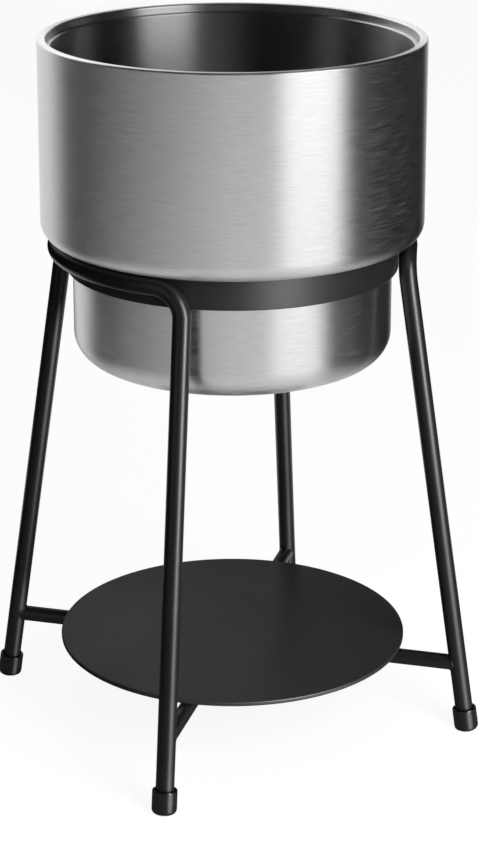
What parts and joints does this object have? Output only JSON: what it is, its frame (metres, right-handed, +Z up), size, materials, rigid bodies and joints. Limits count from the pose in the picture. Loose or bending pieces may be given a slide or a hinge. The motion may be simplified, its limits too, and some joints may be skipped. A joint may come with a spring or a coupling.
{
  "type": "steel vessel on a tube stand",
  "caption": "Open two-tier brushed steel vessel with a lift-out liner, standing in a black bent-tube stand with a low round shelf and rubber-capped legs.",
  "frame": {"origin": "on the floor under the vessel's axis, in the middle of the four feet", "axes": "+Z up along the vessel's axis; the legs stand on the diagonals of X and Y, with one leg frame on -X and one on +X"},
  "size_m": [0.34, 0.34, 0.631],
  "materials": {
    "brushed_steel": "brushed round the axis",
    "black_coat": "satin black powder coat",
    "black_rubber": "smooth moulded",
    "black_steel": "blackened steel"
  },
  "bodies": {
    "stand": {"support_ring": "black_coat", "left_leg_frame": "black_coat", "right_leg_frame": "black_coat", "cross_bar": "black_coat", "front_half_bar": "black_coat", "back_half_bar": "black_coat", "shelf_plate": "black_coat", "shelf_screw_left": "black_steel", "shelf_screw_right": "black_steel", "shelf_screw_front": "black_steel", "shelf_screw_back": "black_steel", "foot_cap_left": "black_rubber", "foot_cap_right": "black_rubber", "foot_cap_front": "black_rubber", "foot_cap_back": "black_rubber"},
    "vessel": {"drum_shell": "brushed_steel", "cup_shell": "brushed_steel"},
    "liner": {"inner_liner": "brushed_steel"}
  },
  "joints": [
    {"name": "vessel_lift", "type": "slide", "parent": "stand", "child": "vessel", "axis": [0, 0, 1], "range_m": [0, 0.15]},
    {"name": "liner_lift", "type": "slide", "parent": "vessel", "child": "liner", "axis": [0, 0, 1], "range_m": [0, 0.28]}
  ]
}
